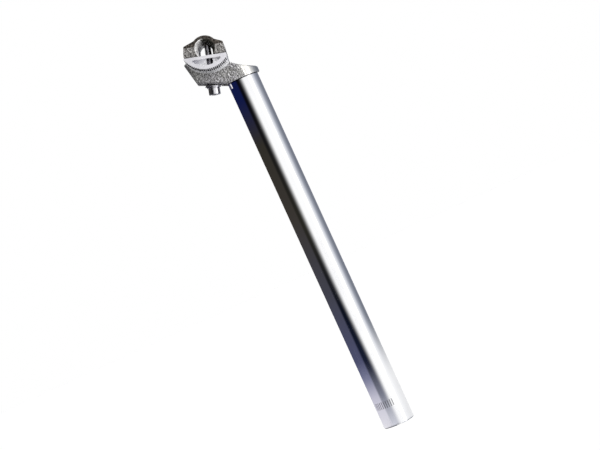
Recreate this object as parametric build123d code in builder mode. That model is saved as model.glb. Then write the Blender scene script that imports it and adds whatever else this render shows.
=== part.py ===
# Bicycle seatpost: a polished tube, a cast head set back at its top, and a one-bolt clamp that holds
# the saddle's rails and tilts in a toothed seat.
# Millimetres. The origin is the centre of the tube's lower end, +Z runs up the tube, +X is forward
# and +Y is to the rider's left.
import os
from math import asin, cos, degrees, floor, hypot, radians, sin, sqrt, tan

from build123d import *

# Tube
TUBE_DIAMETER = 27.2
TUBE_WALL = 2.4
TUBE_LENGTH = 321.0
TUBE_END_CHAMFER = 0.6

# Place of the clamp's tilt axis: behind the tube's axis, and above the tube's upper end
SETBACK = 17.4
TILT_AXIS_RISE = 38.0

# The bolt passes in front of the tilt axis and leans forward from the tube at rest, and the clamp
# tilts from there, in degrees
BOLT_FORWARD = 1.6
BOLT_LEAN_ANGLE = 15.5
TILT_UP_ANGLE = 9.0
TILT_DOWN_ANGLE = 11.0

# Toothed seat in the head, with its ends' angles from straight below the tilt axis and its rims' bevel
# from the tilt axis, in degrees
SEAT_RADIUS = 22.4
SEAT_FRONT_ANGLE = 29.5
SEAT_REAR_ANGLE = 69.8
SEAT_LIP = 2.6
SEAT_WEB = 9.2
TEETH_WIDTH = 27.2
SEAT_BEVEL_ANGLE = 55.0
TOOTH_ANGLE = 4.2
TOOTH_DEPTH = 0.5
TOOTH_CLEARANCE = 0.2

# Head: cap over the tube, arm and spigot
CAP_OVERHANG = 2.1
CAP_FRONT_HEIGHT = 4.6
TOP_SWEEP_SAG = 2.0
ARM_REAR_WIDTH = 28.0
ARM_REAR_CORNER = 6.5
UNDERSIDE_SLOPE = 24.5
UNDERSIDE_REAR = 6.8
HEAD_EDGE = 1.2
TOP_EDGE = 0.8
SPIGOT_LENGTH = 30.0
SPIGOT_CLEARANCE = 0.03

# Channel under the head, in which the domed washer swings
CHANNEL_DEPTH = 1.1
CHANNEL_CLEARANCE = 0.6
WASHER_CLEARANCE = 0.15

# Saddle rails
RAIL_DIAMETER = 7.0
RAIL_SPACING = 44.0
RAIL_CLEARANCE = 0.05
RAIL_RISE = 2.3
CLAMP_LIP = 2.5

# Lower cradle
CRADLE_DROP = 10.8
CRADLE_REAR_END = 0.9
CRADLE_FRONT_END = 3.2
CRADLE_WALL = 3.4
CRADLE_PLATE = 2.5
CRADLE_EDGE = 0.5
HOLLOW_CORNER = 0.8

# Upper clamp: its open eye flares at each end from the waist
CLAMP_GAP = 0.8
EYE_RADIUS = 8.8
EYE_WAIST = 6.0
EYE_FLARE = 8.0
EYE_RISE = 6.3
ARCH_WALL = 2.4
WING_INSET = 0.2
WING_SIDE_HEIGHT = 9.2
WING_SIDE_SLOPE = 82.0
WING_SLOPE = 22.5
WING_EDGE = 0.6
END_HEIGHT = 7.6
END_SLOPE = 60.0
BOSS_DIAMETER = 8.6
BOSS_DEPTH = 1.2
BOSS_TAPER_ANGLE = 14.0
BOSS_ROOT = 0.6

# Bolt and washers
BOLT_DIAMETER = 6.0
BOLT_LENGTH = 40.0
BOLT_CLEARANCE = 0.3
SLOT_CLEARANCE = 0.5
THREAD_CLEARANCE = 0.04
BOLT_HEAD_DIAMETER = 10.0
BOLT_HEAD_HEIGHT = 6.0
BOLT_HEAD_EDGE = 0.6
BOLT_TIP_CHAMFER = 0.8
HEX_KEY = 5.0
HEX_DEPTH = 3.2
DOME_DIAMETER = 14.3
DOME_HEIGHT = 3.4
DOME_RIM = 0.8
DOME_CROWN = 9.4
FLAT_WASHER_DIAMETER = 12.0
FLAT_WASHER_HEIGHT = 1.0

# A cut reaches this far past what it cuts
PAST = 5.0

# Sizes that follow from those above
tube_radius = TUBE_DIAMETER / 2
bore_radius = tube_radius - TUBE_WALL
cap_radius = tube_radius + CAP_OVERHANG
ceiling_radius = SEAT_RADIUS + SEAT_WEB
teeth_root = SEAT_RADIUS + TOOTH_DEPTH
bevel_out = cap_radius + PAST
bevel_drop = (bevel_out - TEETH_WIDTH / 2) * tan(radians(SEAT_BEVEL_ANGLE))
underside_drop = ceiling_radius + CHANNEL_DEPTH
cradle_radius = SEAT_RADIUS - TOOTH_CLEARANCE
cradle_rear = sqrt(cradle_radius**2 - (CRADLE_DROP + CRADLE_REAR_END) ** 2)
cradle_front = sqrt(cradle_radius**2 - (CRADLE_DROP + CRADLE_FRONT_END) ** 2)
clamp_width = RAIL_SPACING + RAIL_DIAMETER + 2 * CLAMP_LIP
wing_bottom = CLAMP_GAP - CRADLE_DROP
wing_shoulder = wing_bottom + WING_SIDE_HEIGHT
wing_rear = cradle_rear - WING_INSET
wing_front = cradle_front - WING_INSET
wing_draft = WING_SIDE_HEIGHT / tan(radians(WING_SIDE_SLOPE))
ridge = wing_shoulder + (wing_rear - wing_draft) * tan(radians(WING_SLOPE))
eye_height = EYE_RISE - CRADLE_DROP
arch_radius = EYE_RADIUS + ARCH_WALL
flare_start = clamp_width / 2 - EYE_FLARE
flare_end = clamp_width / 2 + PAST
flare_radius = EYE_RADIUS + PAST * (EYE_RADIUS - EYE_WAIST) / EYE_FLARE
rail_height = RAIL_RISE - CRADLE_DROP
groove_radius = RAIL_DIAMETER / 2 + RAIL_CLEARANCE
bolt_radius = BOLT_DIAMETER / 2
bolt_hole_radius = bolt_radius + BOLT_CLEARANCE
slot_half_width = bolt_radius + SLOT_CLEARANCE
channel_half_width = DOME_DIAMETER / 2 + CHANNEL_CLEARANCE
dome_top = -(ceiling_radius + WASHER_CLEARANCE)
flat_washer_top = dome_top - DOME_HEIGHT
dome_rim = flat_washer_top + DOME_RIM
bolt_seat = flat_washer_top - FLAT_WASHER_HEIGHT
boss_bottom = eye_height + EYE_WAIST - BOSS_DEPTH
end_bottom = wing_bottom + END_HEIGHT
end_top = eye_height + arch_radius + PAST
end_inset = (end_top - end_bottom) / tan(radians(END_SLOPE))

# Tooth gaps, in degrees from the clamp's forward direction: the cradle's lie each side of square to the
# rails, and the seat's face them, tip to tip, as with the bolt slackened
cradle_rear_angle = degrees(asin(cradle_rear / cradle_radius))
cradle_front_angle = degrees(asin(cradle_front / cradle_radius))
cradle_rear_gaps = floor(cradle_rear_angle / TOOTH_ANGLE - 0.5)
cradle_gaps = cradle_rear_gaps + 1 + floor(cradle_front_angle / TOOTH_ANGLE - 0.5)
first_cradle_gap = -90 - cradle_rear_gaps * TOOTH_ANGLE
seat_rear_gaps = floor((SEAT_REAR_ANGLE - BOLT_LEAN_ANGLE) / TOOTH_ANGLE - 0.5)
seat_gaps = seat_rear_gaps + 1 + floor((SEAT_FRONT_ANGLE + BOLT_LEAN_ANGLE) / TOOTH_ANGLE - 0.5)
first_seat_gap = -90 - seat_rear_gaps * TOOTH_ANGLE

# Working planes: the side views of the head, the clamp and the bolt, and sections across the rails and
# the bolt
lean = radians(BOLT_LEAN_ANGLE)
tilt_axis = Vector(-SETBACK, 0, TUBE_LENGTH + TILT_AXIS_RISE)
rail_direction = Vector(cos(lean), 0, -sin(lean))
bolt_direction = Vector(sin(lean), 0, cos(lean))
head_side = Plane(origin=(0, 0, TUBE_LENGTH), x_dir=(1, 0, 0), z_dir=(0, -1, 0))
clamp_side = Plane(origin=tilt_axis, x_dir=rail_direction, z_dir=(0, -1, 0))
rail_section = Plane(origin=tilt_axis, x_dir=(0, 1, 0), z_dir=rail_direction)
bolt_foot = tilt_axis + BOLT_FORWARD * rail_direction
bolt_side = Plane(origin=bolt_foot, x_dir=rail_direction, z_dir=(0, -1, 0))
bolt_section = Plane(origin=bolt_foot, x_dir=rail_direction, z_dir=bolt_direction)
tube_top = Plane.XY.offset(TUBE_LENGTH)

# A rectangle that hangs from its place
below = (Align.CENTER, Align.MAX)


def from_tilt_axis(radius, back):
    """Point in the head's side view, at a radius from the tilt axis and turned back from straight down."""
    turn = radians(back)
    return (-SETBACK - radius * sin(turn), TILT_AXIS_RISE - radius * cos(turn))


def swung(tilt, forward, drop):
    """Point in the clamp's side view at rest, forward of the tilt axis and below it when tilted."""
    turn = radians(tilt)
    return (forward * cos(turn) - drop * sin(turn), -forward * sin(turn) - drop * cos(turn))


def tooth_gaps(radius, first, count):
    """Square gaps on their corners along an arc of teeth, drawn in the sketch that is open."""
    with PolarLocations(radius, count, start_angle=first, angular_range=count * TOOTH_ANGLE):
        RegularPolygon(radius=TOOTH_DEPTH, side_count=4)


def is_upright(edge):
    """Whether an edge runs straight along the tube's direction."""
    size = edge.bounding_box().size
    return size.X + size.Y < 0.01 * size.Z


def is_top_edge(edge):
    """Whether an edge of the rough head runs along the sweep from the seat down to the cap's front."""
    box = edge.bounding_box()
    above_cap = box.min.Z > TUBE_LENGTH + CAP_FRONT_HEIGHT - TOP_EDGE
    return above_cap and box.min.X > seat_front[0] - TOP_EDGE and box.size.X > TOP_EDGE


def is_outer_edge(edge):
    """Whether an edge of the rough head is rounded: not the seat's, the cap's, or a wall's seam."""
    offset = edge.center() - tilt_axis
    at_foot = edge.bounding_box().max.Z < TUBE_LENGTH + HEAD_EDGE
    at_seat = hypot(offset.X, offset.Z) < SEAT_RADIUS + SEAT_LIP / 4
    return not (at_foot or at_seat or is_upright(edge) or is_top_edge(edge))


# Tube, drawn and polished, with both edges of its open lower end broken
with BuildPart() as tube:
    with BuildSketch(Plane.XY):
        Circle(tube_radius)
        Circle(bore_radius, mode=Mode.SUBTRACT)
    extrude(amount=TUBE_LENGTH)
    chamfer(tube.edges().group_by(Axis.Z)[0], length=TUBE_END_CHAMFER)
tube.part.label = "tube"

# Head, one casting: its side profile, trimmed to its plan
seat_front = from_tilt_axis(SEAT_RADIUS, -SEAT_FRONT_ANGLE)
seat_middle = from_tilt_axis(SEAT_RADIUS, (SEAT_REAR_ANGLE - SEAT_FRONT_ANGLE) / 2)
seat_rear = from_tilt_axis(SEAT_RADIUS, SEAT_REAR_ANGLE)
lip_rear = from_tilt_axis(SEAT_RADIUS + SEAT_LIP, SEAT_REAR_ANGLE)
slope = radians(UNDERSIDE_SLOPE)
foot = from_tilt_axis(underside_drop, UNDERSIDE_SLOPE)
underside_rear = (foot[0] - UNDERSIDE_REAR * cos(slope), foot[1] + UNDERSIDE_REAR * sin(slope))
underside_front = (foot[0] + foot[1] / tan(slope), 0)
cap_front = (cap_radius, CAP_FRONT_HEIGHT)
rear_corner_x = lip_rear[0] + ARM_REAR_CORNER - HEAD_EDGE / 2
rear_corner_y = ARM_REAR_WIDTH / 2 - ARM_REAR_CORNER

with BuildPart() as head:
    with BuildSketch(head_side):
        with BuildLine():
            Polyline((cap_radius + PAST, 0), (cap_radius + PAST, CAP_FRONT_HEIGHT), cap_front)
            SagittaArc(cap_front, seat_front, TOP_SWEEP_SAG)
            ThreePointArc(seat_front, seat_middle, seat_rear)
            Polyline(seat_rear, lip_rear, underside_rear, underside_front, (cap_radius + PAST, 0))
        make_face()
    extrude(amount=cap_radius + PAST, both=True)
    with BuildSketch(tube_top):
        Circle(cap_radius)
        with Locations((rear_corner_x, rear_corner_y), (rear_corner_x, -rear_corner_y)):
            Circle(ARM_REAR_CORNER)
        make_hull()
    extrude(amount=TILT_AXIS_RISE, mode=Mode.INTERSECT)
    fillet(head.edges().filter_by(is_outer_edge), HEAD_EDGE)
    chamfer(head.edges().filter_by(is_top_edge), TOP_EDGE)

    # Spigot inside the tube
    with BuildSketch(tube_top):
        Circle(bore_radius - SPIGOT_CLEARANCE)
    extrude(amount=-SPIGOT_LENGTH)

    # Bevelled rims beside the seat's teeth, wider to the front as the head is
    with BuildSketch(rail_section):
        with BuildLine():
            Polyline(
                (TEETH_WIDTH / 2, -SEAT_RADIUS),
                (TEETH_WIDTH / 2, -teeth_root),
                (bevel_out, -teeth_root - bevel_drop),
                (bevel_out, -SEAT_RADIUS),
                close=True,
            )
        make_face()
        mirror(about=Plane.YZ)
    revolve(axis=Axis(tilt_axis, (0, 1, 0)), mode=Mode.SUBTRACT)

    # Teeth across the seat
    with BuildSketch(clamp_side):
        tooth_gaps(SEAT_RADIUS, first_seat_gap, seat_gaps)
    extrude(amount=cap_radius + PAST, both=True, mode=Mode.SUBTRACT)

    # Slot that lets the bolt swing, and the channel below it for the washer
    with BuildSketch(clamp_side):
        Polygon(
            swung(-TILT_UP_ANGLE, BOLT_FORWARD + slot_half_width, CRADLE_DROP),
            swung(-TILT_UP_ANGLE, BOLT_FORWARD + slot_half_width, underside_drop + PAST),
            swung(TILT_DOWN_ANGLE, BOLT_FORWARD - slot_half_width, underside_drop + PAST),
            swung(TILT_DOWN_ANGLE, BOLT_FORWARD - slot_half_width, CRADLE_DROP),
            align=None,
        )
    extrude(amount=slot_half_width, both=True, mode=Mode.SUBTRACT)
    with BuildSketch(clamp_side):
        Polygon(
            swung(-TILT_UP_ANGLE, BOLT_FORWARD + channel_half_width, SEAT_RADIUS),
            swung(-TILT_UP_ANGLE, BOLT_FORWARD + channel_half_width, 2 * ceiling_radius),
            swung(-TILT_UP_ANGLE, -2 * ceiling_radius, 2 * ceiling_radius),
            swung(-TILT_UP_ANGLE, -2 * ceiling_radius, SEAT_RADIUS),
            align=None,
        )
        Circle(ceiling_radius, mode=Mode.SUBTRACT)
    extrude(amount=channel_half_width, both=True, mode=Mode.SUBTRACT)
head.part.label = "head"

# Lower cradle, a length of extruded D section with blunt corners and teeth on its round side
with BuildPart() as lower_cradle:
    with BuildSketch(clamp_side) as cradle_section:
        with BuildLine():
            back_angle = cradle_rear_angle + cradle_front_angle
            back = CenterArc((0, 0), cradle_radius, -90 - cradle_rear_angle, back_angle)
            Polyline(back @ 1, (cradle_front, -CRADLE_DROP), (-cradle_rear, -CRADLE_DROP), back @ 0)
        make_face()
        fillet(cradle_section.vertices(), CRADLE_EDGE)
        with BuildSketch(mode=Mode.PRIVATE) as hollow:
            Circle(cradle_radius - CRADLE_WALL)
            with Locations((0, -CRADLE_DROP - CRADLE_PLATE)):
                Rectangle(2 * cradle_radius, cradle_radius, align=below, mode=Mode.INTERSECT)
            fillet(hollow.vertices(), HOLLOW_CORNER)
        add(hollow.sketch, mode=Mode.SUBTRACT)
    extrude(amount=clamp_width / 2, both=True)
    with BuildSketch(clamp_side):
        tooth_gaps(cradle_radius, first_cradle_gap, cradle_gaps)
    extrude(amount=clamp_width / 2 + PAST, both=True, mode=Mode.SUBTRACT)
    with BuildSketch(bolt_section):
        Circle(bolt_hole_radius)
    extrude(amount=-2 * cradle_radius, mode=Mode.SUBTRACT)
    with BuildSketch(rail_section):
        with GridLocations(RAIL_SPACING, 0, 2, 1):
            with Locations((0, rail_height)):
                Circle(groove_radius)
    extrude(amount=cradle_radius + PAST, both=True, mode=Mode.SUBTRACT)
lower_cradle.part.label = "lower_cradle"

# Upper clamp, an arch over a flared eye, with a wing each way, rail grooves below and a tapped boss
with BuildPart() as upper_clamp:
    with BuildSketch(clamp_side) as arch_section:
        Polygon(
            (-wing_rear, wing_bottom),
            (wing_draft - wing_rear, wing_shoulder),
            (0, ridge),
            (wing_front - wing_draft, wing_shoulder),
            (wing_front, wing_bottom),
            align=None,
        )
        with Locations((0, eye_height)):
            Circle(arch_radius)
        with Locations((0, wing_bottom)):
            Rectangle(4 * wing_rear, 2 * arch_radius, align=below, mode=Mode.SUBTRACT)
        fillet(arch_section.vertices(), WING_EDGE)
        with Locations((0, eye_height)):
            Circle(EYE_WAIST, mode=Mode.SUBTRACT)
            Rectangle(2 * EYE_WAIST, EYE_RISE, align=below, mode=Mode.SUBTRACT)
    extrude(amount=clamp_width / 2, both=True)
    with BuildSketch(rail_section):
        with BuildLine():
            Polyline(
                (flare_start, eye_height),
                (flare_start, eye_height + EYE_WAIST),
                (flare_end, eye_height + flare_radius),
                (flare_end, eye_height),
                close=True,
            )
        make_face()
        mirror(about=Plane.YZ)
    revolve(axis=Axis(tilt_axis + eye_height * bolt_direction, (0, 1, 0)), mode=Mode.SUBTRACT)
    with BuildSketch(rail_section):
        with BuildLine():
            Polyline(
                (clamp_width / 2, end_bottom),
                (clamp_width / 2 - end_inset, end_top),
                (clamp_width / 2 + PAST, end_top),
                (clamp_width / 2 + PAST, end_bottom),
                close=True,
            )
        make_face()
        mirror(about=Plane.YZ)
    extrude(amount=wing_rear + PAST, both=True, mode=Mode.SUBTRACT)
    with BuildSketch(bolt_section.offset(boss_bottom)):
        Circle(BOSS_DIAMETER / 2)
    extrude(amount=BOSS_DEPTH + BOSS_ROOT, taper=-BOSS_TAPER_ANGLE)
    with BuildSketch(rail_section):
        with GridLocations(RAIL_SPACING, 0, 2, 1):
            with Locations((0, rail_height)):
                Circle(groove_radius)
                Rectangle(2 * groove_radius, RAIL_RISE, align=below)
    extrude(amount=wing_rear + PAST, both=True, mode=Mode.SUBTRACT)
    with BuildSketch(bolt_section):
        Circle(bolt_radius + THREAD_CLEARANCE)
    extrude(amount=2 * arch_radius, both=True, mode=Mode.SUBTRACT)
upper_clamp.part.label = "upper_clamp"

# Bolt, a socket head cap screw that comes up from below
with BuildPart() as clamp_bolt:
    with BuildSketch(bolt_section.offset(bolt_seat)):
        Circle(BOLT_HEAD_DIAMETER / 2)
    extrude(amount=-BOLT_HEAD_HEIGHT)
    chamfer(clamp_bolt.edges().sort_by(Axis(bolt_foot, bolt_direction))[0], BOLT_HEAD_EDGE)
    with BuildSketch(bolt_section.offset(bolt_seat - BOLT_HEAD_HEIGHT)):
        RegularPolygon(radius=HEX_KEY / 2, side_count=6, major_radius=False)
    extrude(amount=HEX_DEPTH, mode=Mode.SUBTRACT)
    with BuildSketch(bolt_section.offset(bolt_seat)):
        Circle(bolt_radius)
    extrude(amount=BOLT_LENGTH)
    chamfer(clamp_bolt.edges().sort_by(Axis(bolt_foot, bolt_direction))[-1], BOLT_TIP_CHAMFER)
clamp_bolt.part.label = "clamp_bolt"

# Domed washer, which centres itself in the slot
with BuildPart() as dome_washer:
    with BuildSketch(bolt_side):
        Polygon(
            (bolt_hole_radius, dome_top),
            (DOME_CROWN / 2, dome_top),
            (DOME_DIAMETER / 2, dome_rim),
            (DOME_DIAMETER / 2, flat_washer_top),
            (bolt_hole_radius, flat_washer_top),
            align=None,
        )
    revolve(axis=Axis(bolt_foot, bolt_direction))
dome_washer.part.label = "dome_washer"

# Flat washer under the bolt's head
with BuildPart() as flat_washer:
    with BuildSketch(bolt_section.offset(bolt_seat)):
        Circle(FLAT_WASHER_DIAMETER / 2)
        Circle(bolt_hole_radius, mode=Mode.SUBTRACT)
    extrude(amount=FLAT_WASHER_HEIGHT)
flat_washer.part.label = "flat_washer"

os.makedirs("parts", exist_ok=True)
for piece in (tube, head, lower_cradle, upper_clamp, clamp_bolt, dome_washer, flat_washer):
    export_step(piece.part, f"parts/{piece.part.label}.step")
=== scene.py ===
from math import cos, pi, radians, sin, tan

import bmesh
import bpy
from mathutils import Matrix, Vector


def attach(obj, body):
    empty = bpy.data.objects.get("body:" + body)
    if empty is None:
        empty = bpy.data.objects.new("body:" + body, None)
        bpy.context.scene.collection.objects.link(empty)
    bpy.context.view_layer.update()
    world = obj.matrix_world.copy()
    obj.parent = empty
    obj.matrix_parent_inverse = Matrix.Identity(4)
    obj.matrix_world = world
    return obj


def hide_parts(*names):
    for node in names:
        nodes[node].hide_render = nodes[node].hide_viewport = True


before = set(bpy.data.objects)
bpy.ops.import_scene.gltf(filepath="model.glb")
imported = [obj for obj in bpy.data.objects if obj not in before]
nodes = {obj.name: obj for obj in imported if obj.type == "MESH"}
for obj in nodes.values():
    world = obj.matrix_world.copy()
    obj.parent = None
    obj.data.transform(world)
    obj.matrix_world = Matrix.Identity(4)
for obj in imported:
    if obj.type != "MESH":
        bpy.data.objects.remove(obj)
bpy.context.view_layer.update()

# Tube: drawn aluminium, turned square at its lower end and buffed to a mirror outside.
# It slides into the bicycle's frame, and the head closes its upper end, where a dark band of painted
# shade marks the joint.
# A row of printed ticks near its foot shows how deep it stands.
MM = 0.001
TUBE_RADIUS = 13.6 * MM
TUBE_BORE = 11.2 * MM
TUBE_LENGTH = 321.0 * MM
TUBE_END_CHAMFER = 0.6 * MM
TUBE_END_ROUND = 0.12 * MM
TUBE_END_RING = 3.0 * MM
TUBE_STEPS = 160
CUT_EDGE = radians(30)
SEAM_SHADE_REACH = 0.9 * MM
TICK_HEIGHT = 20.0 * MM
TICK_HALF_LENGTH = 3.2 * MM
TICK_COUNT = 44
TICK_HALF_WIDTH = 0.15
TICK_BLUR = 0.02
TICK_MIDDLE = radians(-26.0)
TICK_HALF_SPREAD = radians(41.0)
TUBE_BRIGHT = (0.985, 0.987, 0.995, 1)
TUBE_SMEARED = (0.945, 0.948, 0.965, 1)
TICK_INK = (0.1, 0.1, 0.11, 1)
# Painted shade for the joint under the head
SEAM_PAINTED_SHADE = (0.03, 0.03, 0.035, 1)
BORE_PALE = (0.62, 0.62, 0.63, 1)
BORE_DULL = (0.5, 0.5, 0.5, 1)


def add_node(tree, kind, values=(), **settings):
    """Adds a shader node; a value that is a socket is linked, and any other is set."""
    made = tree.nodes.new("ShaderNode" + kind)
    for name, value in settings.items():
        setattr(made, name, value)
    for socket, value in dict(values).items():
        if isinstance(value, bpy.types.NodeSocket):
            tree.links.new(value, made.inputs[socket])
        else:
            made.inputs[socket].default_value = value
    return made


def math_node(tree, operation, a, b=0.0, c=0.0):
    """One sum on two or three values, as a socket."""
    return add_node(tree, "Math", {0: a, 1: b, 2: c}, operation=operation).outputs[0]


def vector_node(tree, operation, a, b=(0.0, 0.0, 0.0)):
    """One step on one or two vectors, as the socket of the value or vector that it gives."""
    made = add_node(tree, "VectorMath", {0: a, 1: b}, operation=operation)
    return made.outputs["Value" if operation in ("LENGTH", "DOT_PRODUCT") else "Vector"]


def span(tree, value, low, high, to_low=0.0, to_high=1.0):
    """A value carried smoothly from one span to another, as a socket."""
    made = add_node(
        tree,
        "MapRange",
        {"Value": value, "From Min": low, "From Max": high, "To Min": to_low, "To Max": to_high},
        interpolation_type="SMOOTHSTEP",
    )
    return made.outputs[0]


def between(tree, share, a, b):
    """Two values mixed by a share, as a socket."""
    return span(tree, share, 0.0, 1.0, a, b)


def blend_colours(tree, share, a, b):
    """Two colours mixed by a share, as a socket."""
    made = add_node(tree, "Mix", {"Factor": share, 6: a, 7: b}, data_type="RGBA")
    return made.outputs[2]


def split(tree, vector):
    """A vector's three parts, as sockets named X, Y and Z."""
    return add_node(tree, "SeparateXYZ", {"Vector": vector}).outputs


def new_finish(name):
    """A new material with only its output and a metal shader, and the two to work with."""
    finish = bpy.data.materials.new(name)
    finish.use_nodes = True
    tree = finish.node_tree
    tree.nodes.clear()
    metal = add_node(tree, "BsdfPrincipled", {"Metallic": 1.0})
    add_node(tree, "OutputMaterial", {"Surface": metal.outputs[0]})
    return finish, tree, metal


def new_group(name, inputs, outputs):
    """A shader node group with named values in and out."""
    group = bpy.data.node_groups.new(name, "ShaderNodeTree")
    for socket in inputs:
        group.interface.new_socket(socket, in_out="INPUT", socket_type="NodeSocketFloat")
    for socket in outputs:
        group.interface.new_socket(socket, in_out="OUTPUT", socket_type="NodeSocketFloat")
    entry = group.nodes.new("NodeGroupInput").outputs
    leave = group.nodes.new("NodeGroupOutput").inputs
    return group, entry, leave


def use_group(tree, group, **values):
    """Places a node group in a material and gives its outputs."""
    made = add_node(tree, "Group")
    made.node_tree = group
    for socket, value in values.items():
        made.inputs[socket].default_value = value
    return made.outputs


def finish_mesh(work, name, finish, sharp=radians(30)):
    """Turns a bmesh into a smooth-shaded object, crisp past an angle and flat beside rounded edges."""
    mesh = bpy.data.meshes.new(name)
    work.to_mesh(mesh)
    work.free()
    mesh.polygons.foreach_set("use_smooth", [True] * len(mesh.polygons))
    mesh.set_sharp_from_angle(angle=sharp)
    mesh.materials.append(finish)
    piece = bpy.data.objects.new(name, mesh)
    bpy.context.scene.collection.objects.link(piece)
    flat_faces = piece.modifiers.new("flat_faces", "WEIGHTED_NORMAL")
    flat_faces.keep_sharp = True
    return piece


def turn_profile(corners, steps):
    """A ring turned on Z from the corners of its section, given as radius and height."""
    work = bmesh.new()
    points = [work.verts.new((radius, 0, height)) for radius, height in corners]
    lines = [work.edges.new((points[i - 1], points[i])) for i in range(len(points))]
    bmesh.ops.spin(
        work,
        geom=points + lines,
        cent=(0, 0, 0),
        axis=(0, 0, 1),
        angle=2 * pi,
        steps=steps,
        use_merge=True,
    )
    bmesh.ops.remove_doubles(work, verts=work.verts, dist=1e-7)
    bmesh.ops.recalc_face_normals(work, faces=work.faces)
    return work


def round_edges(work, edges, offset, segments):
    """Rounds some edges of a bmesh."""
    bmesh.ops.bevel(
        work,
        geom=edges,
        offset=offset,
        affect="EDGES",
        segments=segments,
        profile=0.5,
        material=-1,
        clamp_overlap=True,
    )


# Marks that handling leaves on bright metal: soft smears, and hair scratches that run both ways
rub_marks, marks_in, marks_out = new_group(
    "rub_marks", ["Smear Size", "Scratch Size"], ["Smear", "Scratch"]
)
place = add_node(rub_marks, "TexCoord").outputs["Object"]
smear = add_node(
    rub_marks, "TexNoise", {"Vector": place, "Scale": marks_in["Smear Size"], "Detail": 4.0}
).outputs[0]
rub_marks.links.new(span(rub_marks, smear, 0.42, 0.68), marks_out["Smear"])
scratches = []
for turn in ((0.3, 0.2, 0.15), (-0.45, 0.35, 1.2)):
    turned = add_node(
        rub_marks, "Mapping", {"Vector": place, "Rotation": turn, "Scale": (1.0, 1.0, 0.04)}
    ).outputs[0]
    hairs = add_node(
        rub_marks, "TexNoise", {"Vector": turned, "Scale": marks_in["Scratch Size"], "Detail": 2.0}
    ).outputs[0]
    scratches.append(span(rub_marks, hairs, 0.66, 0.74))
rub_marks.links.new(math_node(rub_marks, "MAXIMUM", *scratches), marks_out["Scratch"])

mirror_polish, tree, metal = new_finish("mirror_polish")
marks = use_group(tree, rub_marks, **{"Smear Size": 38.0, "Scratch Size": 900.0})
place = add_node(tree, "TexCoord").outputs["Object"]
along = split(tree, place)
from_axis = vector_node(tree, "LENGTH", vector_node(tree, "MULTIPLY", place, (1, 1, 0)))
outside = math_node(tree, "GREATER_THAN", from_axis, TUBE_BORE + TUBE_END_CHAMFER / 2)
around = math_node(tree, "ARCTAN2", along["X"], math_node(tree, "MULTIPLY", along["Y"], -1.0))
turn_share = math_node(tree, "MULTIPLY", around, TICK_COUNT / (2 * pi))
off_tick = math_node(tree, "PINGPONG", turn_share, 0.5)
tick = span(tree, off_tick, TICK_HALF_WIDTH + TICK_BLUR, TICK_HALF_WIDTH - TICK_BLUR)
off_row = math_node(tree, "ABSOLUTE", math_node(tree, "SUBTRACT", along["Z"], TICK_HEIGHT))
in_height = span(tree, off_row, TICK_HALF_LENGTH, 0.94 * TICK_HALF_LENGTH)
off_middle = math_node(tree, "ABSOLUTE", math_node(tree, "SUBTRACT", around, TICK_MIDDLE))
in_spread = math_node(tree, "LESS_THAN", off_middle, TICK_HALF_SPREAD)
for mask in (in_height, outside, in_spread):
    tick = math_node(tree, "MULTIPLY", tick, mask)
# Painted shade: a dark band at the tube's upper end, where the head's overhang shades the joint
seam_shade = span(tree, along["Z"], TUBE_LENGTH - SEAM_SHADE_REACH, TUBE_LENGTH - 0.5 * SEAM_SHADE_REACH)
polish = blend_colours(tree, marks["Smear"], TUBE_BRIGHT, TUBE_SMEARED)
polish = blend_colours(tree, tick, polish, TICK_INK)
polish = blend_colours(tree, seam_shade, polish, SEAM_PAINTED_SHADE)
as_drawn = blend_colours(tree, marks["Smear"], BORE_PALE, BORE_DULL)
buffed = between(tree, marks["Smear"], 0.045, 0.085)
buffed = math_node(tree, "MULTIPLY_ADD", marks["Scratch"], 0.08, buffed)
buffed = math_node(tree, "MAXIMUM", buffed, math_node(tree, "MULTIPLY", tick, 0.45))
tree.links.new(blend_colours(tree, outside, as_drawn, polish), metal.inputs["Base Color"])
tree.links.new(between(tree, outside, 0.4, buffed), metal.inputs["Roughness"])
tree.links.new(math_node(tree, "MULTIPLY_ADD", tick, -0.7, 1.0), metal.inputs["Metallic"])

work = turn_profile(
    [
        (TUBE_BORE, TUBE_LENGTH),
        (TUBE_BORE, TUBE_END_RING),
        (TUBE_BORE, TUBE_END_CHAMFER),
        (TUBE_BORE + TUBE_END_CHAMFER, 0),
        (TUBE_RADIUS - TUBE_END_CHAMFER, 0),
        (TUBE_RADIUS, TUBE_END_CHAMFER),
        (TUBE_RADIUS, TUBE_END_RING),
        (TUBE_RADIUS, TUBE_LENGTH),
    ],
    TUBE_STEPS,
)
end_edges = []
for edge in work.edges:
    top = max(corner.co.z for corner in edge.verts)
    if top < 2 * TUBE_END_CHAMFER and edge.calc_face_angle(0) > CUT_EDGE:
        end_edges.append(edge)
round_edges(work, end_edges, TUBE_END_ROUND, 2)
tube = finish_mesh(work, "polished_tube", mirror_polish)
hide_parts("tube")
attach(tube, "post")

# Head: one aluminium casting, shot blasted and left bare, its seat milled and its rim's front buffed.
# Its spigot is bonded into the tube, and the saddle clamp's teeth bite into the seat on its top, with
# painted shade in the gaps of its teeth.
TILT_AXIS = Vector((-17.4, 0, 359.0)) * MM
SEAT_RADIUS = 22.4 * MM
TOOTH_DEPTH = 0.5 * MM
TEETH_HALF_WIDTH = 13.6 * MM
SEAT_BEVEL = radians(55)
SEAT_BEVEL_BAND = 0.25 * MM
RIM_BLASTED_TO = 2.2 * MM
RIM_BUFFED_FROM = 4.4 * MM
HEAD_EDGE_ROUND = 0.15 * MM
FLAT_WITHIN = radians(0.5)
SHARP_PAST = radians(35)
HEAD_DARK = (0.26, 0.256, 0.248, 1)
HEAD_WARM = (0.47, 0.468, 0.45, 1)
HEAD_COOL = (0.5, 0.488, 0.51, 1)
HEAD_WORN = (0.72, 0.72, 0.73, 1)
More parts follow.
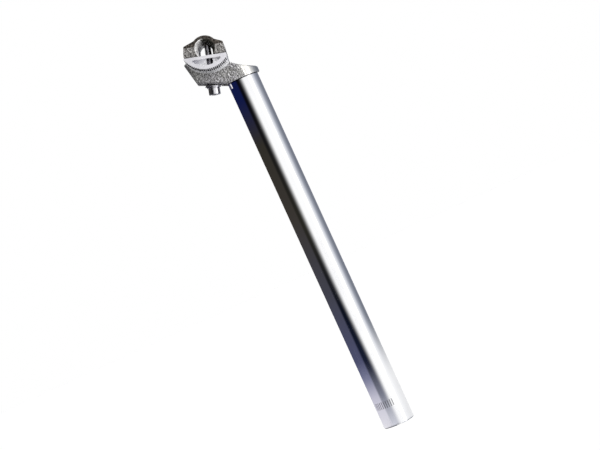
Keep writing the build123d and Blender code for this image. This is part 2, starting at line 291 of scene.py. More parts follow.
RIM_BUFFED = (0.84, 0.825, 0.775, 1)
SEAT_MILLED = (0.94, 0.94, 0.95, 1)
# Near-black painted shade for the gaps of the teeth
GAP_SHADE = (0.012, 0.012, 0.011, 1)

# Blasted skin: dents with finer sand marks in them, and a stain of its own
blasted_grain, grain_in, grain_out = new_group("blasted_grain", ["Size"], ["Tone", "Pits"])
place = add_node(blasted_grain, "TexCoord").outputs["Object"]
dents = add_node(
    blasted_grain,
    "TexVoronoi",
    {"Vector": place, "Scale": grain_in["Size"], "Smoothness": 0.35},
    feature="SMOOTH_F1",
).outputs["Distance"]
finer = math_node(blasted_grain, "MULTIPLY", grain_in["Size"], 2.6)
sand = add_node(
    blasted_grain, "TexNoise", {"Vector": place, "Scale": finer, "Detail": 3.0, "Roughness": 0.6}
).outputs[0]
dents = math_node(blasted_grain, "MULTIPLY_ADD", sand, 0.45, dents)
blasted_grain.links.new(dents, grain_out["Pits"])
stain = add_node(
    blasted_grain,
    "TexNoise",
    {"Vector": place, "Scale": grain_in["Size"], "Detail": 4.0, "Roughness": 0.65},
).outputs[0]
blasted_grain.links.new(span(blasted_grain, stain, 0.36, 0.6), grain_out["Tone"])

# Edges that rubbing has brightened, found where the rounded normal leaves the true one
worn_edges, wear_in, wear_out = new_group("worn_edges", ["Reach"], ["Wear"])
rounded = add_node(worn_edges, "Bevel", {"Radius": wear_in["Reach"]}, samples=6).outputs[0]
true_normal = add_node(worn_edges, "NewGeometry").outputs["Normal"]
agree = vector_node(worn_edges, "DOT_PRODUCT", rounded, true_normal)
worn_edges.links.new(span(worn_edges, agree, 0.97, 0.8), wear_out["Wear"])

# Distance from the axis on which the clamp tilts, and from the post's middle plane
from_tilt_axis, _, tilt_out = new_group("from_tilt_axis", [], ["Radius", "Side"])
place = add_node(from_tilt_axis, "TexCoord").outputs["Object"]
offset = vector_node(from_tilt_axis, "SUBTRACT", place, TILT_AXIS)
offset = vector_node(from_tilt_axis, "MULTIPLY", offset, (1, 0, 1))
from_tilt_axis.links.new(vector_node(from_tilt_axis, "LENGTH", offset), tilt_out["Radius"])
aside = math_node(from_tilt_axis, "ABSOLUTE", split(from_tilt_axis, place)["Y"])
from_tilt_axis.links.new(aside, tilt_out["Side"])

# Painted shade, near black, in the gaps of the teeth, between two radii from the tilt axis, and off the
# sawn ends
tooth_gap_shade, gap_shade_in, gap_shade_out = new_group("tooth_gap_shade", ["Inner", "Outer"], ["Grease"])
radius = use_group(tooth_gap_shade, from_tilt_axis)["Radius"]
past_inner = math_node(tooth_gap_shade, "GREATER_THAN", radius, gap_shade_in["Inner"])
before_outer = math_node(tooth_gap_shade, "LESS_THAN", radius, gap_shade_in["Outer"])
in_gap = math_node(tooth_gap_shade, "MULTIPLY", past_inner, before_outer)
facing = split(tooth_gap_shade, add_node(tooth_gap_shade, "TexCoord").outputs["Normal"])
endwise = math_node(tooth_gap_shade, "ABSOLUTE", facing["Y"])
off_ends = math_node(tooth_gap_shade, "LESS_THAN", endwise, 0.5)
tooth_gap_shade.links.new(math_node(tooth_gap_shade, "MULTIPLY", in_gap, off_ends), gap_shade_out["Grease"])

blasted_casting, tree, metal = new_finish("blasted_casting")
grain = use_group(tree, blasted_grain, Size=620.0)
wear = use_group(tree, worn_edges, Reach=0.5 * MM)["Wear"]
tilt = use_group(tree, from_tilt_axis)
past_teeth = math_node(tree, "SUBTRACT", tilt["Side"], TEETH_HALF_WIDTH)
seat_floor = SEAT_RADIUS + TOOTH_DEPTH
bevel_radius = math_node(tree, "MULTIPLY_ADD", past_teeth, tan(SEAT_BEVEL), seat_floor)
off_bevel = math_node(tree, "ABSOLUTE", math_node(tree, "SUBTRACT", tilt["Radius"], bevel_radius))
on_bevel = math_node(tree, "LESS_THAN", off_bevel, SEAT_BEVEL_BAND)
in_seat = math_node(tree, "LESS_THAN", tilt["Radius"], SEAT_RADIUS + 1.1 * TOOTH_DEPTH)
milled = math_node(tree, "MAXIMUM", on_bevel, in_seat)
# Painted shade in the gaps of the seat's teeth
gap_shade = use_group(
    tree,
    tooth_gap_shade,
    Inner=SEAT_RADIUS + 0.15 * TOOTH_DEPTH,
    Outer=SEAT_RADIUS + 1.1 * TOOTH_DEPTH,
)["Grease"]
place = add_node(tree, "TexCoord").outputs["Object"]
facing = split(tree, add_node(tree, "TexCoord").outputs["Normal"])
upright = span(tree, math_node(tree, "ABSOLUTE", facing["Z"]), 0.8, 0.5)
in_front = span(tree, split(tree, place)["X"], RIM_BLASTED_TO, RIM_BUFFED_FROM)
on_rim = math_node(tree, "MULTIPLY", upright, in_front)
cloud = add_node(tree, "TexNoise", {"Vector": place, "Scale": 60.0, "Detail": 2.0}).outputs[0]
tint = blend_colours(tree, span(tree, cloud, 0.35, 0.65), HEAD_WARM, HEAD_COOL)
skin = blend_colours(tree, grain["Tone"], HEAD_DARK, tint)
skin = blend_colours(tree, wear, skin, HEAD_WORN)
skin = blend_colours(tree, on_rim, skin, RIM_BUFFED)
skin = blend_colours(tree, milled, skin, SEAT_MILLED)
tree.links.new(blend_colours(tree, gap_shade, skin, GAP_SHADE), metal.inputs["Base Color"])
blasted = between(tree, wear, 0.36, 0.25)
blasted = between(tree, on_rim, blasted, 0.15)
blasted = between(tree, milled, blasted, 0.3)
tree.links.new(between(tree, gap_shade, blasted, 0.7), metal.inputs["Roughness"])
bare = between(tree, on_rim, 0.75, 1.0)
bare = between(tree, milled, bare, 0.35)
tree.links.new(between(tree, gap_shade, bare, 0.0), metal.inputs["Metallic"])
depth = between(tree, on_rim, 1.0, 0.06)
depth = math_node(tree, "MULTIPLY", depth, math_node(tree, "SUBTRACT", 1.0, milled))
rough = math_node(tree, "MULTIPLY", grain["Pits"], depth)
pits = add_node(tree, "Bump", {"Height": rough, "Strength": 1.0, "Distance": 0.55 * MM})
tree.links.new(pits.outputs[0], metal.inputs["Normal"])


def soften_solid(node, name, finish, edge_round, crisp=(0.0, 0.0)):
    """A merged copy of a solid with its sharp outer edges rounded.

    Edges between the two crisp radii from the tilt axis are left as cut.
    """
    work = bmesh.new()
    work.from_mesh(nodes[node].data)
    bmesh.ops.remove_doubles(work, verts=work.verts, dist=1e-6)
    bmesh.ops.dissolve_limit(work, angle_limit=FLAT_WITHIN, verts=work.verts, edges=work.edges)
    sharp_edges = []
    for edge in work.edges:
        middle = (edge.verts[0].co + edge.verts[1].co) / 2 - TILT_AXIS
        is_crisp = crisp[0] < middle.xz.length < crisp[1]
        if edge.is_convex and edge.calc_face_angle(0) > SHARP_PAST and not is_crisp:
            sharp_edges.append(edge)
    round_edges(work, sharp_edges, edge_round, 2)
    bmesh.ops.dissolve_degenerate(work, dist=2e-6, edges=work.edges)
    return finish_mesh(work, name, finish)


seat_teeth = (SEAT_RADIUS - TOOTH_DEPTH, SEAT_RADIUS + 2 * TOOTH_DEPTH)
head = soften_solid("head", "blasted_head", blasted_casting, HEAD_EDGE_ROUND, seat_teeth)
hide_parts("head")
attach(head, "post")

# Lower cradle: a length of bright extruded bar, sawn off and drilled for the bolt.
# It rocks on the seat's teeth, and its two grooves carry the saddle's rails.
CRADLE_RADIUS = 22.2 * MM
CRADLE_EDGE_ROUND = 0.15 * MM
CRADLE_BRIGHT = (0.95, 0.94, 0.98, 1)
CRADLE_SMEARED = (0.87, 0.86, 0.91, 1)
CRADLE_WORN = (0.97, 0.97, 0.98, 1)
sawn_bar, tree, metal = new_finish("sawn_bar")
marks = use_group(tree, rub_marks, **{"Smear Size": 90.0, "Scratch Size": 1500.0})
wear = use_group(tree, worn_edges, Reach=0.3 * MM)["Wear"]
# Painted shade in the gaps of the cradle's teeth
gap_shade = use_group(
    tree,
    tooth_gap_shade,
    Inner=CRADLE_RADIUS - 1.1 * TOOTH_DEPTH,
    Outer=CRADLE_RADIUS - 0.15 * TOOTH_DEPTH,
)["Grease"]
place = add_node(tree, "TexCoord").outputs["Object"]
saw = add_node(tree, "Mapping", {"Vector": place, "Scale": (0.08, 1.0, 1.0)}).outputs[0]
lines = add_node(tree, "TexNoise", {"Vector": saw, "Scale": 2600.0, "Detail": 2.0}).outputs[0]
bar = blend_colours(tree, marks["Smear"], CRADLE_BRIGHT, CRADLE_SMEARED)
bar = blend_colours(tree, wear, bar, CRADLE_WORN)
sawn = span(tree, lines, 0.3, 0.7, 0.2, 0.32)
tree.links.new(blend_colours(tree, gap_shade, bar, GAP_SHADE), metal.inputs["Base Color"])
tree.links.new(between(tree, gap_shade, sawn, 0.7), metal.inputs["Roughness"])
tree.links.new(math_node(tree, "SUBTRACT", 1.0, gap_shade), metal.inputs["Metallic"])
cut = add_node(tree, "Bump", {"Height": lines, "Strength": 0.25, "Distance": 0.08 * MM})
tree.links.new(cut.outputs[0], metal.inputs["Normal"])
cradle_teeth = (CRADLE_RADIUS - 1.5 * TOOTH_DEPTH, CRADLE_RADIUS + TOOTH_DEPTH)
cradle = soften_solid("lower_cradle", "toothed_cradle", sawn_bar, CRADLE_EDGE_ROUND, cradle_teeth)
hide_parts("lower_cradle")
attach(cradle, "saddle_clamp")

# Domed washer: turned steel, zinc plated, slipped on the bolt below the head.
# Its crowned top seats itself in the head's channel, whatever the clamp's tilt.
BOLT_LEAN = radians(15.5)
BOLT_FORWARD = 1.6 * MM
BOLT_HOLE = 3.3 * MM
WASHER_STEPS = 72
WASHER_SHARP = radians(50)
DOME_TOP = -31.75 * MM
DOME_FOOT = -35.15 * MM
DOME_RADIUS = 7.15 * MM
DOME_RIM = 0.8 * MM
DOME_FLAT_RADIUS = 4.7 * MM
DOME_KNEE_RADIUS = 6.1 * MM
DOME_KNEE_DROP = 1.15 * MM
DOME_ROUND = 0.25 * MM
CROWN_EDGE = radians(14)
ZINC_BRIGHT = (0.8, 0.79, 0.83, 1)
ZINC_SMEARED = (0.68, 0.68, 0.7, 1)
ZINC_WORN = (0.9, 0.9, 0.9, 1)
zinc_plate, tree, metal = new_finish("zinc_plate")
marks = use_group(tree, rub_marks, **{"Smear Size": 160.0, "Scratch Size": 2200.0})
wear = use_group(tree, worn_edges, Reach=0.2 * MM)["Wear"]
plate = blend_colours(tree, marks["Smear"], ZINC_BRIGHT, ZINC_SMEARED)
tree.links.new(blend_colours(tree, wear, plate, ZINC_WORN), metal.inputs["Base Color"])
plated = between(tree, marks["Smear"], 0.17, 0.28)
plated = math_node(tree, "MULTIPLY_ADD", marks["Scratch"], 0.1, plated)
tree.links.new(plated, metal.inputs["Roughness"])

# Place on the bolt's axis, with heights from the tilt axis
on_bolt = Matrix.Translation(TILT_AXIS) @ Matrix.Rotation(BOLT_LEAN, 4, "Y")
on_bolt = on_bolt @ Matrix.Translation((BOLT_FORWARD, 0, 0))
work = turn_profile(
    [
        (BOLT_HOLE, DOME_TOP),
        (DOME_FLAT_RADIUS, DOME_TOP),
        (DOME_KNEE_RADIUS, DOME_TOP - DOME_KNEE_DROP),
        (DOME_RADIUS, DOME_FOOT + DOME_RIM),
        (DOME_RADIUS, DOME_FOOT),
        (BOLT_HOLE, DOME_FOOT),
    ],
    WASHER_STEPS,
)
crown_edges = [edge for edge in work.edges if edge.calc_face_angle(0) > CROWN_EDGE]
round_edges(work, crown_edges, DOME_ROUND, 3)
bmesh.ops.transform(work, matrix=on_bolt, verts=work.verts)
dome = finish_mesh(work, "turned_dome_washer", zinc_plate, WASHER_SHARP)
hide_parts("dome_washer")
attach(dome, "saddle_clamp")

# Flat washer: stamped steel, zinc plated, with its edges rolled over by the tool.
# It lies loose on the bolt, between the domed washer and the bolt's head.
FLAT_WASHER_RADIUS = 6.0 * MM
FLAT_WASHER_THICKNESS = 1.0 * MM
FLAT_WASHER_ROUND = 0.15 * MM
bolt_seat = DOME_FOOT - FLAT_WASHER_THICKNESS
work = turn_profile(
    [
        (BOLT_HOLE, DOME_FOOT),
        (FLAT_WASHER_RADIUS, DOME_FOOT),
        (FLAT_WASHER_RADIUS, bolt_seat),
        (BOLT_HOLE, bolt_seat),
    ],
    WASHER_STEPS,
)
rim_edges = [edge for edge in work.edges if edge.calc_face_angle(0) > CUT_EDGE]
round_edges(work, rim_edges, FLAT_WASHER_ROUND, 3)
bmesh.ops.transform(work, matrix=on_bolt, verts=work.verts)
flat_washer = finish_mesh(work, "stamped_flat_washer", zinc_plate, WASHER_SHARP)
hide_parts("flat_washer")
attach(flat_washer, "saddle_clamp")

# Bolt: a steel socket head cap screw with a rolled thread, zinc plated like its washers.
# It comes up through the washers, the slot and the cradle, and draws the upper clamp down.
BOLT_RADIUS = 3.0 * MM
BOLT_LENGTH = 40.0 * MM
TIP_CHAMFER = 0.8 * MM
THREAD_ROOT = 2.45 * MM
THREAD_PITCH = 1.0 * MM
THREAD_FROM = 15.0 * MM
THREAD_RUNOUT = 0.4 * MM
THREAD_STEPS = 36
BOLT_HEAD_RADIUS = 5.0 * MM
BOLT_HEAD_HEIGHT = 6.0 * MM
BOLT_HEAD_EDGE = 0.6 * MM
BOLT_HEAD_UNDER_EDGE = 0.2 * MM
BOLT_HEAD_STEPS = 48
SOCKET_FLAT = 2.5 * MM
SOCKET_DEPTH = 3.2 * MM

# Thread: one pitch of its section, as radius and share of the pitch, wound up the shank and trimmed
thread_section = (
    (BOLT_RADIUS, 0.0),
    (BOLT_RADIUS, 0.12),
    (THREAD_ROOT, 0.44),
    (THREAD_ROOT, 0.68),
    (BOLT_RADIUS, 1.0),
)
work = bmesh.new()
points = []
for radius, share in thread_section:
    height = THREAD_FROM + (share - 1.5) * THREAD_PITCH
    points.append(work.verts.new((radius, 0, height)))
lines = [work.edges.new(pair) for pair in zip(points, points[1:])]
turns = int((BOLT_LENGTH - THREAD_FROM) / THREAD_PITCH) + 3
bmesh.ops.spin(
    work,
    geom=points + lines,
    cent=(0, 0, 0),
    axis=(0, 0, 1),
    dvec=(0, 0, THREAD_PITCH / THREAD_STEPS),
    angle=2 * pi * turns,
    steps=THREAD_STEPS * turns,
)
bmesh.ops.remove_doubles(work, verts=work.verts, dist=1e-6)
for height, way in ((THREAD_FROM, -1), (BOLT_LENGTH, 1)):
    bmesh.ops.bisect_plane(
        work,
        geom=work.verts[:] + work.edges[:] + work.faces[:],
        plane_co=(0, 0, height),
        plane_no=(0, 0, way),
        clear_outer=True,
        dist=1e-7,
    )
middle = (THREAD_FROM + BOLT_LENGTH) / 2
thread_foot = [e for e in work.edges if e.is_boundary and e.verts[0].co.z < middle]
thread_tip = [e for e in work.edges if e.is_boundary and e.verts[0].co.z > middle]
bmesh.ops.edgeloop_fill(work, edges=thread_tip)
for corner in work.verts:
    room = BOLT_RADIUS - max(0.0, corner.co.z - (BOLT_LENGTH - TIP_CHAMFER))
    corner.co.xy *= min(1.0, room / max(corner.co.xy.length, 1e-9))


def flat_loop(work, corners, radius, height):
    """A new loop of edges round Z, with its corners at a radius."""
    made = bmesh.ops.create_circle(work, segments=corners, radius=radius)["verts"]
    bmesh.ops.translate(work, vec=(0, 0, height), verts=made)
    return list(dict.fromkeys(edge for corner in made for edge in corner.link_edges))


def draw_loop(work, loop, height, radius=None):
    """Draws a loop of edges on to a height and, where it is given, a radius; gives the new loop."""
    drawn = bmesh.ops.extrude_edge_only(work, edges=loop)["geom"]
    ring = [item for item in drawn if isinstance(item, bmesh.types.BMVert)]
    for corner in ring:
        if radius:
            corner.co.xy *= radius / corner.co.xy.length
        corner.co.z = height
    edges = [item for item in drawn if isinstance(item, bmesh.types.BMEdge)]
    return [edge for edge in edges if all(corner in ring for corner in edge.verts)]


# Head and plain shank: a round blank with a six-sided socket sunk in its end, drawn out to the thread
outline = flat_loop(work, BOLT_HEAD_STEPS, BOLT_HEAD_RADIUS - BOLT_HEAD_EDGE, -BOLT_HEAD_HEIGHT)
socket = flat_loop(work, 6, SOCKET_FLAT / cos(radians(30)), -BOLT_HEAD_HEIGHT)
cut = bmesh.ops.subdivide_edges(work, edges=socket, cuts=BOLT_HEAD_STEPS // 6 - 1)
socket = [item for item in cut["geom"] if isinstance(item, bmesh.types.BMEdge)]
bmesh.ops.bridge_loops(work, edges=outline + socket)
socket_floor = draw_loop(work, socket, SOCKET_DEPTH - BOLT_HEAD_HEIGHT)
bmesh.ops.edgeloop_fill(work, edges=socket_floor)
for radius, height in (
    (BOLT_HEAD_RADIUS, BOLT_HEAD_EDGE - BOLT_HEAD_HEIGHT),
    (BOLT_HEAD_RADIUS, -BOLT_HEAD_UNDER_EDGE),
    (BOLT_HEAD_RADIUS - BOLT_HEAD_UNDER_EDGE, 0.0),
    (BOLT_RADIUS, 0.0),
    (BOLT_RADIUS, THREAD_FROM - THREAD_RUNOUT),
):
    outline = draw_loop(work, outline, height, radius)
bmesh.ops.bridge_loops(work, edges=outline + thread_foot)
bmesh.ops.recalc_face_normals(work, faces=work.faces)
bmesh.ops.translate(work, vec=(0, 0, bolt_seat), verts=work.verts)
bmesh.ops.transform(work, matrix=on_bolt, verts=work.verts)
bolt = finish_mesh(work, "socket_bolt", zinc_plate)
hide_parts("clamp_bolt")
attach(bolt, "saddle_clamp")

# Upper clamp: forged aluminium, blasted and tumbled, with a tapped boss inside its open eye.
# The bolt pulls it down on the rails, and its wings spread the grip fore and aft.
# The slopes at its ends are painted darker and browner as shade, and painted shade darkens the front
# half of the eye's walls.
EYE_RADIUS = 8.8 * MM
EYE_LIP = 0.25 * MM
EYE_WAIST = 6.0 * MM
EYE_SLACK = 0.1 * MM
EYE_HEIGHT = -4.5 * MM
# Painted shade inside the eye, from where it starts to where it is full, and how ragged its edge is
EYE_SHADE_FROM = -2.8 * MM
EYE_SHADE_TO = 0.2 * MM
EYE_SHADE_RAGGEDNESS = 1.6 * MM
CLAMP_EDGE_ROUND = 0.4 * MM
CLAMP_DARK = (0.14, 0.133, 0.126, 1)
CLAMP_PALE = (0.4, 0.388, 0.375, 1)
CLAMP_BROWN = (0.32, 0.305, 0.29, 1)
CLAMP_WORN = (0.62, 0.6, 0.575, 1)
# Painted shade for the sloping end faces, dark and brown
SLOPE_SHADE_DARK = (0.04, 0.035, 0.03, 1)
SLOPE_SHADE_BROWN = (0.15, 0.132, 0.115, 1)
EYE_PALE = (0.94, 0.93, 0.92, 1)
# Near-black painted shade for the front half of the eye
EYE_PAINTED_SHADE = (0.025, 0.024, 0.016, 1)
tumbled_forging, tree, metal = new_finish("tumbled_forging")
grain = use_group(tree, blasted_grain, Size=680.0)
wear = use_group(tree, worn_edges, Reach=0.4 * MM)["Wear"]
place = add_node(tree, "TexCoord").outputs["Object"]
eye_centre = on_bolt @ Vector((-BOLT_FORWARD, 0, EYE_HEIGHT))
offset = vector_node(tree, "SUBTRACT", place, eye_centre)
offset = vector_node(tree, "MULTIPLY", offset, (1, 0, 1))
from_eye = vector_node(tree, "LENGTH", offset)
inside_lip = math_node(tree, "LESS_THAN", from_eye, EYE_RADIUS - EYE_LIP)
past_waist = math_node(tree, "GREATER_THAN", from_eye, EYE_WAIST - EYE_SLACK)
in_eye = math_node(tree, "MULTIPLY", inside_lip, past_waist)
facing = split(tree, add_node(tree, "TexCoord").outputs["Normal"])
endwise = math_node(tree, "ABSOLUTE", facing["Y"])
# Painted shade on the sloping end faces, found by how far they face along Y
past_top = span(tree, endwise, 0.72, 0.8)
short_of_end = span(tree, endwise, 0.97, 0.92)
on_shaded_slope = math_node(tree, "MULTIPLY", past_top, short_of_end)
cloud = add_node(tree, "TexNoise", {"Vector": place, "Scale": 85.0, "Detail": 3.0}).outputs[0]
tint = blend_colours(tree, span(tree, cloud, 0.35, 0.65), CLAMP_PALE, CLAMP_BROWN)
skin = blend_colours(tree, grain["Tone"], CLAMP_DARK, tint)
skin = blend_colours(tree, wear, skin, CLAMP_WORN)
slope_shade = blend_colours(tree, grain["Tone"], SLOPE_SHADE_DARK, SLOPE_SHADE_BROWN)
skin = blend_colours(tree, on_shaded_slope, skin, slope_shade)
# Painted shade inside the eye: its front half goes near black, with a ragged edge from the grain
forward = (cos(BOLT_LEAN), 0, -sin(BOLT_LEAN))
shade_edge = vector_node(tree, "DOT_PRODUCT", offset, forward)
shade_edge = math_node(tree, "MULTIPLY_ADD", grain["Tone"], EYE_SHADE_RAGGEDNESS, shade_edge)
wall = blend_colours(tree, span(tree, shade_edge, EYE_SHADE_FROM, EYE_SHADE_TO), EYE_PALE, EYE_PAINTED_SHADE)
tree.links.new(blend_colours(tree, in_eye, skin, wall), metal.inputs["Base Color"])
tumbled = between(tree, wear, 0.3, 0.22)
tree.links.new(between(tree, in_eye, tumbled, 0.45), metal.inputs["Roughness"])
tree.links.new(between(tree, in_eye, 0.85, 0.25), metal.inputs["Metallic"])
depth = between(tree, on_shaded_slope, 1.0, 0.6)
depth = between(tree, in_eye, depth, 0.25)
rough = math_node(tree, "MULTIPLY", grain["Pits"], depth)
pits = add_node(tree, "Bump", {"Height": rough, "Strength": 1.0, "Distance": 0.6 * MM})
tree.links.new(pits.outputs[0], metal.inputs["Normal"])
clamp = soften_solid("upper_clamp", "forged_upper_clamp", tumbled_forging, CLAMP_EDGE_ROUND)
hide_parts("upper_clamp")
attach(clamp, "saddle_clamp")

# Studio: a pale paper floor well below the post, and cards that only the bright metal shows.
# A dark card stands on the left, a blue-grey one and a soft box on the right, a low one behind,
# and a brown one hangs overhead.
FLOOR_HEIGHT = -0.2
FLOOR_HALF_WIDTH = 12.0
FLOOR_LIFT = 0.16
CARD_DISTANCE = 0.9
CARD_INNER = 0.04
CARD_FOOT = -0.198
CARD_TOP = 1.1
CARD_STEPS = 48
DARK_CARD_SPAN = (-172.0, 18.0)
SOFT_BOX_SPAN = (36.0, 60.0)
GREY_CARD_SPAN = (60.0, 172.0)
BACK_CARD_SPAN = (172.0, 188.0)
BACK_CARD_TOP = 0.15
BROWN_CARD_HALF_WIDTH = 0.6
BROWN_CARD_PLACE = (0.42, -0.6, 1.05)
PAPER = (0.9, 0.9, 0.9, 1)
WHITE = (1, 1, 1, 1)
SOFT_BOX_BRIGHT = (2.4, 2.4, 2.45, 1)
BACK_CARD_GREY = (0.12, 0.125, 0.16, 1)
BROWN_CARD_BROWN = (0.07, 0.06, 0.052, 1)


def new_surface(name):
    """A new stage material with only its output, its tree and that output."""
    finish = bpy.data.materials.new(name)
    finish.use_nodes = True
    tree = finish.node_tree
    tree.nodes.clear()
    return finish, tree, add_node(tree, "OutputMaterial")


def glow(tree, leave, colour):
    """Lets a stage surface shine with a colour, whatever falls on it."""
    shine = add_node(tree, "Emission", {"Color": colour, "Strength": 1.0})
    tree.links.new(shine.outputs[0], leave.inputs["Surface"])


def is_looked_at(tree):
    """One where the camera, a shiny face or a clear one sees a surface, none where it gives light."""
    ray = add_node(tree, "LightPath").outputs
    mirrored = math_node(tree, "MAXIMUM", ray["Is Glossy Ray"], ray["Is Transmission Ray"])
    return math_node(tree, "MAXIMUM", ray["Is Camera Ray"], mirrored)


def stage_card(work, name, finish):
    """Puts a card on the stage, which shows only in reflections."""
    card = finish_mesh(work, name, finish)
    card.visible_camera = False
    card.visible_diffuse = False
    card.visible_shadow = False
    card.visible_transmission = False


def curved_card(azimuths, top):
    """A card bent round the post, between two azimuths from the front, in degrees, up to a height.

    Its foot lies along the floor to the post.
    """
    work = bmesh.new()
    start, end = (radians(azimuth) for azimuth in azimuths)
    section = ((CARD_INNER, CARD_FOOT), (CARD_DISTANCE, CARD_FOOT), (CARD_DISTANCE, top))
    points = []
    for reach, height in section:
        points.append(work.verts.new((reach * sin(start), -reach * cos(start), height)))
    lines = [work.edges.new(pair) for pair in zip(points, points[1:])]
    bmesh.ops.spin(
        work,
        geom=points + lines,
        cent=(0, 0, 0),
        axis=(0, 0, 1),
        angle=end - start,
        steps=CARD_STEPS,
    )
    return work


def card_place(tree):
    """The azimuth from the front in degrees, and the height, on a card."""
    along = split(tree, add_node(tree, "TexCoord").outputs["Object"])
    turn = math_node(tree, "ARCTAN2", along["X"], math_node(tree, "MULTIPLY", along["Y"], -1.0))
    return math_node(tree, "DEGREES", turn), along["Z"]


def colour_steps(tree, value, steps):
    """A run of colours along a value, from pairs of a value and its colour, as a socket."""
    low = steps[0][0]
    high = steps[-1][0]
    share = add_node(tree, "MapRange", {"Value": value, "From Min": low, "From Max": high}).outputs[0]
    ramp = add_node(tree, "ValToRGB", {"Fac": share})
    stops = ramp.color_ramp.elements
    while len(stops) < len(steps):
        stops.new(0.5)
    for stop, (at, colour) in zip(stops, steps):
        stop.position = (at - low) / (high - low)
        stop.color = (*colour, 1)
    return ramp.outputs["Color"]


pale_floor, tree, leave = new_surface("pale_floor")
paper = add_node(tree, "BsdfDiffuse", {"Color": PAPER})
lift = math_node(tree, "MULTIPLY", is_looked_at(tree), FLOOR_LIFT)
whiter = add_node(tree, "Emission", {"Color": WHITE, "Strength": lift})
both = add_node(tree, "AddShader", {0: paper.outputs[0], 1: whiter.outputs[0]})
tree.links.new(both.outputs[0], leave.inputs["Surface"])
work = bmesh.new()
bmesh.ops.create_grid(work, x_segments=1, y_segments=1, size=FLOOR_HALF_WIDTH)
bmesh.ops.translate(work, vec=(0, 0, FLOOR_HEIGHT), verts=work.verts)
finish_mesh(work, "floor", pale_floor)

# Dark card: one run of colours up its left side and one up its middle, fading to white at the front
dark_card, tree, leave = new_surface("dark_card")
azimuth, height = card_place(tree)
side = colour_steps(
    tree,
    height,
    [
        (-0.155, (0.06, 0.062, 0.08)),
        (-0.125, (0.8, 0.79, 0.84)),
        (-0.075, (0.55, 0.54, 0.64)),
        (-0.045, (0.18, 0.19, 0.3)),
        (-0.02, (0.07, 0.076, 0.15)),
        (0.08, (0.055, 0.056, 0.075)),
        (0.2, (0.042, 0.037, 0.032)),
        (0.31, (0.03, 0.027, 0.021)),
        (0.38, (0.005, 0.009, 0.06)),
        (0.45, (0.005, 0.009, 0.06)),
        (0.52, (0.05, 0.049, 0.046)),
    ],
)
middle = colour_steps(
    tree,
    height,
    [
        (-0.155, (0.02, 0.022, 0.03)),
        (-0.125, (0.72, 0.73, 0.8)),
        (-0.075, (0.2, 0.21, 0.27)),
        (-0.03, (0.009, 0.013, 0.032)),
        (0.05, (0.003, 0.005, 0.013)),
        (0.18, (0.022, 0.021, 0.016)),
        (0.37, (0.003, 0.003, 0.006)),
    ],
)
deep = blend_colours(tree, span(tree, azimuth, -64.0, -46.0), side, middle)
turned = math_node(tree, "SUBTRACT", azimuth, span(tree, height, 0.12, -0.06, 0.0, 11.0))
fade = math_node(tree, "POWER", span(tree, turned, -46.0, 6.0), 2.5)
glow(tree, leave, blend_colours(tree, fade, deep, WHITE))
stage_card(curved_card(DARK_CARD_SPAN, CARD_TOP), "dark_card", dark_card)

# Grey card: darker towards the back, and paler low down, where the photographed tube fades
grey_card, tree, leave = new_surface("grey_card")
azimuth, height = card_place(tree)
band = colour_steps(
    tree,
    azimuth,
    [
        (62.0, (1, 1, 1)),
        (77.0, (0.7, 0.72, 0.77)),
        (97.0, (0.34, 0.36, 0.42)),
        (122.0, (0.18, 0.2, 0.24)),
        (148.0, (0.2, 0.21, 0.26)),
    ],
)
low_down = span(tree, height, 0.04, -0.06, 0.0, 0.8)
off_floor = span(tree, height, -0.155, -0.125)
pale = math_node(tree, "MULTIPLY", low_down, off_floor)
glow(tree, leave, blend_colours(tree, pale, band, WHITE))
stage_card(curved_card(GREY_CARD_SPAN, CARD_TOP), "grey_card", grey_card)

back_card, tree, leave = new_surface("back_card")
glow(tree, leave, BACK_CARD_GREY)
stage_card(curved_card(BACK_CARD_SPAN, BACK_CARD_TOP), "back_card", back_card)

soft_box, tree, leave = new_surface("soft_box")
azimuth, _ = card_place(tree)
past_left = span(tree, azimuth, 38.0, 46.0)
before_right = span(tree, azimuth, 74.0, 64.0)
across_box = math_node(tree, "MULTIPLY", past_left, before_right)
glow(tree, leave, blend_colours(tree, across_box, WHITE, SOFT_BOX_BRIGHT))
stage_card(curved_card(SOFT_BOX_SPAN, CARD_TOP), "soft_box", soft_box)

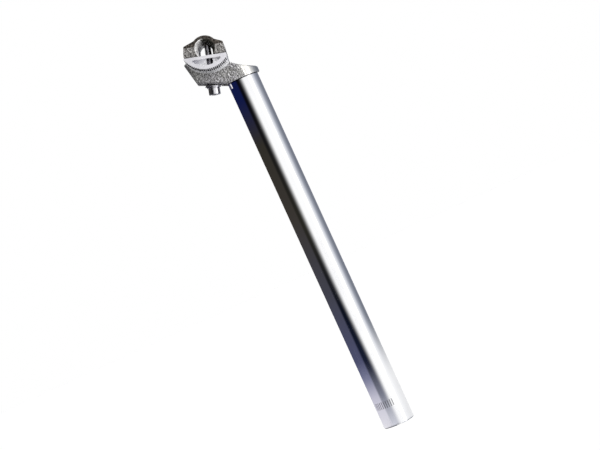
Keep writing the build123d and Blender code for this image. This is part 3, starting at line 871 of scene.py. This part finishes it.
brown_card, tree, leave = new_surface("brown_card")
glow(tree, leave, BROWN_CARD_BROWN)
work = bmesh.new()
bmesh.ops.create_grid(work, x_segments=1, y_segments=1, size=BROWN_CARD_HALF_WIDTH)
bmesh.ops.translate(work, vec=BROWN_CARD_PLACE, verts=work.verts)
stage_card(work, "brown_card", brown_card)

# Light: a white surround at full strength for what is seen in it, softer for what it lights,
# and one broad soft lamp from the front right.
SURROUND_LIGHT = 0.6
LAMP_STRENGTH = 2.4
LAMP_SPREAD = radians(35)
LAMP_WAY = Vector((-0.78, 0.45, -0.47))
surround = bpy.data.worlds.new("white_surround")
bpy.context.scene.world = surround
surround.use_nodes = True
tree = surround.node_tree
tree.nodes.clear()
level = between(tree, is_looked_at(tree), SURROUND_LIGHT, 1.0)
sky = add_node(tree, "Background", {"Color": WHITE, "Strength": level})
add_node(tree, "OutputWorld", {"Surface": sky.outputs[0]})

lamp_data = bpy.data.lights.new("soft_lamp", "SUN")
lamp_data.energy = LAMP_STRENGTH
lamp_data.angle = LAMP_SPREAD
lamp = bpy.data.objects.new("soft_lamp", lamp_data)
lamp.rotation_mode = "QUATERNION"
lamp.rotation_quaternion = LAMP_WAY.to_track_quat("-Z", "Y")
bpy.context.scene.collection.objects.link(lamp)
bpy.context.scene.view_settings.view_transform = "Standard"

# Camera: level, square to the post's side and turned on its own axis, as the photograph was taken.
CAMERA_DISTANCE = 1.4
CAMERA_FORWARD = -0.0073
CAMERA_HEIGHT = 0.1875
CAMERA_ROLL = radians(24.5)
SENSOR_WIDTH = 36.0
METRES_ACROSS = 0.51
camera_data = bpy.data.cameras.new("camera")
camera_data.sensor_width = SENSOR_WIDTH
camera_data.lens = SENSOR_WIDTH * CAMERA_DISTANCE / METRES_ACROSS
camera = bpy.data.objects.new("camera", camera_data)
look = Vector((0, 1, 0))
up = Vector((sin(CAMERA_ROLL), 0, cos(CAMERA_ROLL)))
across = look.cross(up)
camera.matrix_world = Matrix((across, up, -look)).transposed().to_4x4()
camera.location = (CAMERA_FORWARD, -CAMERA_DISTANCE, CAMERA_HEIGHT)
bpy.context.scene.collection.objects.link(camera)
bpy.context.scene.camera = camera
